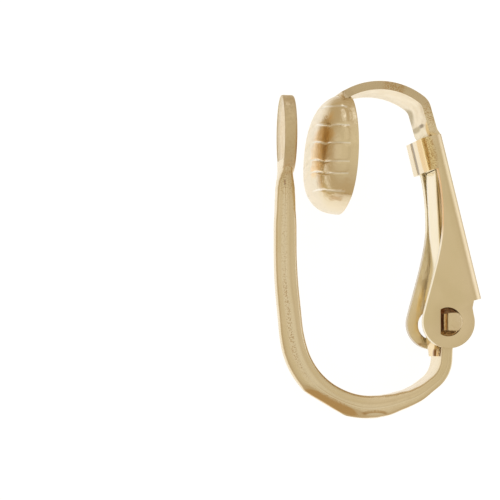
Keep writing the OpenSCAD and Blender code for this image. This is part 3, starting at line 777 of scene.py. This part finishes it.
def half_row(part, count):
    """Points of half a row of the dome, evenly spaced from its middle to the rim: (x, height above the rim)."""
    wide = (PAD_W / 2 - RIB_RISE) * math.sqrt(max(0.0, 1 - part * part))
    high = (PAD_DEPTH - RIB_RISE) * (1 - abs(part) ** PAD_FULLNESS) ** (1 / PAD_FULLNESS)
    curve = []
    power = 2 / SIDE_FULLNESS
    for k in range(CURVE_STEPS + 1):
        angle = math.pi / 2 * k / CURVE_STEPS
        curve.append(Vector((wide * math.sin(angle) ** power, high * math.cos(angle) ** power)))
    curve[-1].y = 0
    run = [0.0]
    for a, b in zip(curve, curve[1:]):
        run.append(run[-1] + (b - a).length)
    row, k = [], 0
    for n in range(count + 1):
        goal = run[-1] * n / count
        while k < CURVE_STEPS - 1 and run[k + 1] < goal:
            k += 1
        step = run[k + 1] - run[k]
        point = curve[k].lerp(curve[k + 1], (goal - run[k]) / step if step > 0 else 0)
        way = curve[k + 1] - curve[k]
        out = Vector((-way.y, way.x)).normalized() if way.length > 0 else Vector((0, 1))
        row.append((point, out))
    return row


print("a row of the pad's middle runs", round(half_row(0, 1)[-1][0].x, 2), "mm to each side")

# %% Press the pad
COLUMNS, ROWS = 56, 170
# How strongly the rows crowd towards the top and bottom
CROWDING = 0.35
pad = bmesh.new()
groove_of = pad.verts.layers.float_vector.new("groove")
bmesh.ops.create_grid(pad, x_segments=2 * COLUMNS, y_segments=ROWS, size=1)
tilt = Matrix.Rotation(math.radians(-PAD_LEAN), 4, "X")
rows = {}
for v in pad.verts:
    column, row = round(v.co.x * COLUMNS), round((v.co.y + 1) / 2 * ROWS)
    even = 2 * row / ROWS - 1
    part = min(1.0, max(-1.0, math.sin(math.pi / 2 * even) * CROWDING + even * (1 - CROWDING)))
    if row not in rows:
        rows[row] = half_row(part, COLUMNS)
    point, out = rows[row][abs(column)]
    z = part * PAD_H / 2
    point = point + out * rib_rise(point.y, z) * min(1.0, (1 - abs(part)) * 12)
    x = math.copysign(point.x, column)
    v[groove_of] = (min(abs(z - g) for g in GROOVES), max(0.0, RIB_FOOT - point.y), x)
    z -= RIB_BOW * min(1, (x / BOW_X) ** 2) * (1 - part * part)
    v.co = PAD_RIM + (tilt @ Vector((x, -point.y, z)))
bmesh.ops.remove_doubles(pad, verts=pad.verts, dist=0.002)
bmesh.ops.recalc_face_normals(pad, faces=pad.faces)
front_face = min(pad.faces, key=lambda f: f.calc_center_median().y)
if front_face.normal.y > 0:
    bmesh.ops.reverse_faces(pad, faces=pad.faces)
pressure_pad = finish_piece(pad, "pressure_pad", pad_gold, "clip", wall=PAD_WALL, edge=0.06,
                            angle=60, inner=hollow_gold, rim=hollow_gold)
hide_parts("clip_lever")
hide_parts("clip_lever")

# %% [markdown]
# ## Leaf spring
# The leaf is a strip of spring steel, thin enough to bend. One edge is extruded along its bending table, and the
# last steps narrow it towards its tip.

# %% Draw the leaf
LEAF_W, SEAT = 2.0, 0.02
ACROSS = (-1, -0.5, 0, 0.5, 1)
LEAF_BENDS = [(1.37, 2.5, -11), (4.2, 3, -14), (1, 3.4, 13.5), (2.55, 1, 0)]
leaf_start = BACK_TOP - polar(SHEET + SEAT, BACK_LEAN) + polar(0.05, 90 + BACK_LEAN)
leaf_length = length_of(LEAF_BENDS)
LEAF_WIDTHS = [(0, 0.8 * LEAF_W), (0.15, LEAF_W), (leaf_length - 1.0, LEAF_W), (leaf_length, 0.55 * LEAF_W)]

leaf = bmesh.new()
across_of = leaf.verts.layers.float.new("across")
leaf_verts = [leaf.verts.new((x, 0, 0)) for x in ACROSS]
leaf_edges = [leaf.edges.new(pair) for pair in zip(leaf_verts, leaf_verts[1:])]
for v, x in zip(leaf_verts, ACROSS):
    v[across_of] = x
for n, distance in enumerate(steps_along(LEAF_BENDS, 0.1)):
    if n:
        leaf_verts, leaf_edges = grow(leaf, leaf_edges)
    point, heading = along(LEAF_BENDS, leaf_start, BACK_LEAN - 90, distance)
    half = lookup(LEAF_WIDTHS, distance, 1) / 2
    for v in leaf_verts:
        v.co = (v[across_of] * half, point.x, point.y)
bmesh.ops.recalc_face_normals(leaf, faces=leaf.faces)
leaf.faces.ensure_lookup_table()
if leaf.faces[len(leaf.faces) // 2].normal.y < 0:
    bmesh.ops.reverse_faces(leaf, faces=leaf.faces)
leaf_spring = finish_piece(leaf, "leaf_strip", bright_gold, "clip", wall=LEAF_T, edge=0.02)
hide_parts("leaf_spring")

# %% [markdown]
# ## Table, light and camera
# A jeweller's product shot is taken in a light tent: white on all sides, a little darker where the camera looks
# in. The floor is a white card. The sky is the tent: warm and darker where the flats that face the camera mirror
# it, creamy over the top, at the rear and under the finding, which lights the bends. Two large soft lights add a
# faint sheen.

# %% White card
CARD_HALF, CARD_GREY, CARD_GLOW = 0.6, 0.25, 0.92
card = bmesh.new()
bmesh.ops.create_grid(card, x_segments=1, y_segments=1, size=CARD_HALF)
card_mesh = bpy.data.meshes.new("card")
card.to_mesh(card_mesh)
card.free()
floor = bpy.data.objects.new("card", card_mesh)
bpy.context.collection.objects.link(floor)
white = bpy.data.materials.new("white_card")
white.use_nodes = True
tree = white.node_tree
paper = tree.nodes["Principled BSDF"]
paper.inputs["Base Color"].default_value = (CARD_GREY, CARD_GREY, CARD_GREY, 1)
paper.inputs["Roughness"].default_value = 0.9
paper.inputs["Specular IOR Level"].default_value = 0.0
paper.inputs["Emission Color"].default_value = (1, 1, 1, 1)
paper.inputs["Emission Strength"].default_value = CARD_GLOW
clear = tree.nodes.new("ShaderNodeBsdfTransparent")
path = tree.nodes.new("ShaderNodeLightPath")
pick = tree.nodes.new("ShaderNodeMixShader")
link(tree, path.outputs["Is Camera Ray"], pick.inputs["Fac"])
link(tree, clear.outputs["BSDF"], pick.inputs[1])
link(tree, paper.outputs["BSDF"], pick.inputs[2])
link(tree, pick.outputs["Shader"], tree.nodes["Material Output"].inputs["Surface"])
card_mesh.materials.append(white)
print("a white card as the table")

# %% Soft light
world = bpy.data.worlds.new("tent")
bpy.context.scene.world = world
world.use_nodes = True
sky = world.node_tree.nodes["Background"]
sky.inputs["Strength"].default_value = 1.0
tree = world.node_tree
_, ramp, sums, _, mix = node_kit(tree)
direction = tree.nodes.new("ShaderNodeTexCoord").outputs["Generated"]


def facing(worn_direction):
    """How nearly a direction of the sky is a worn direction: 1 is the same, 0 is square to it."""
    node = tree.nodes.new("ShaderNodeVectorMath")
    node.operation = "DOT_PRODUCT"
    link(tree, direction, node.inputs[0])
    node.inputs[1].default_value = turn @ Vector(worn_direction).normalized()
    return node.outputs["Value"]


CREAM = (1.0, 0.95, 0.87)
# The way that the side facing the camera mirrors, as worn
MIRRORED = (0.96, -0.25, 0.10)
tent = ramp(facing(MIRRORED), [
    (0.0, (0.52, 0.41, 0.26)), (0.2, (0.53, 0.43, 0.29)), (0.45, (0.58, 0.495, 0.355)), (0.8, (0.61, 0.53, 0.385)),
    (0.9, (0.655, 0.575, 0.425)), (1.0, (0.655, 0.575, 0.425))])
tent = mix(ramp(facing((0, 0, 1)), [(0.97, 0.0), (0.995, 1.0)]), tent, CREAM)
tent = mix(ramp(facing((0, 1, 0)), [(0.72, 0.0), (0.95, 1.0)]), tent, CREAM)
down = sums("MULTIPLY", facing(turn.transposed() @ Vector((0, 0, 1))), -1)
tent = mix(ramp(down, [(0.5, 0.0), (0.86, 1.0)]), tent, CREAM)
link(tree, tent, sky.inputs["Color"])


MIDDLE = (0, 4, 9)


def softbox(name, at, size, power):
    """A square light at a worn position in millimetres, turned to the finding's middle."""
    light = bpy.data.lights.new(name, "AREA")
    light.shape = "SQUARE"
    light.size = size * MM
    light.energy = power
    lamp = bpy.data.objects.new(name, light)
    bpy.context.collection.objects.link(lamp)
    lamp.location = LAY @ Vector(at)
    aim = LAY @ Vector(MIDDLE) - lamp.location
    lamp.rotation_euler = aim.to_track_quat("-Z", "Y").to_euler()


softbox("front_box", (40, -90, 40), 90, 0.002)
softbox("top_box", (60, 10, 90), 80, 0.002)
print("a tent and two soft lights")

# %% Camera
FOCAL_PIXELS, FRAME_PIXELS, SENSOR = 2100, 500, 36
EYE = Vector((103.491, -18.168, 1.577))
LOOK = Vector((0.0, -1.777, 8.353))
lens = bpy.data.cameras.new("camera")
lens.sensor_width = SENSOR
lens.lens = FOCAL_PIXELS / FRAME_PIXELS * SENSOR
lens.clip_start = 0.005
camera = bpy.data.objects.new("camera", lens)
bpy.context.collection.objects.link(camera)
forward = (LOOK - EYE).normalized()
right = forward.cross(Vector((0, 0, 1))).normalized()
upward = right.cross(forward)
axes = Matrix((right, upward, -forward)).transposed()
camera.matrix_world = Matrix.Translation(LAY @ EYE) @ (turn @ axes).to_4x4()
bpy.context.scene.camera = camera
bpy.context.scene.view_settings.view_transform = "Standard"
print("a lens of", round(lens.lens), "mm")

# %% Update the scene
bpy.context.view_layer.update()
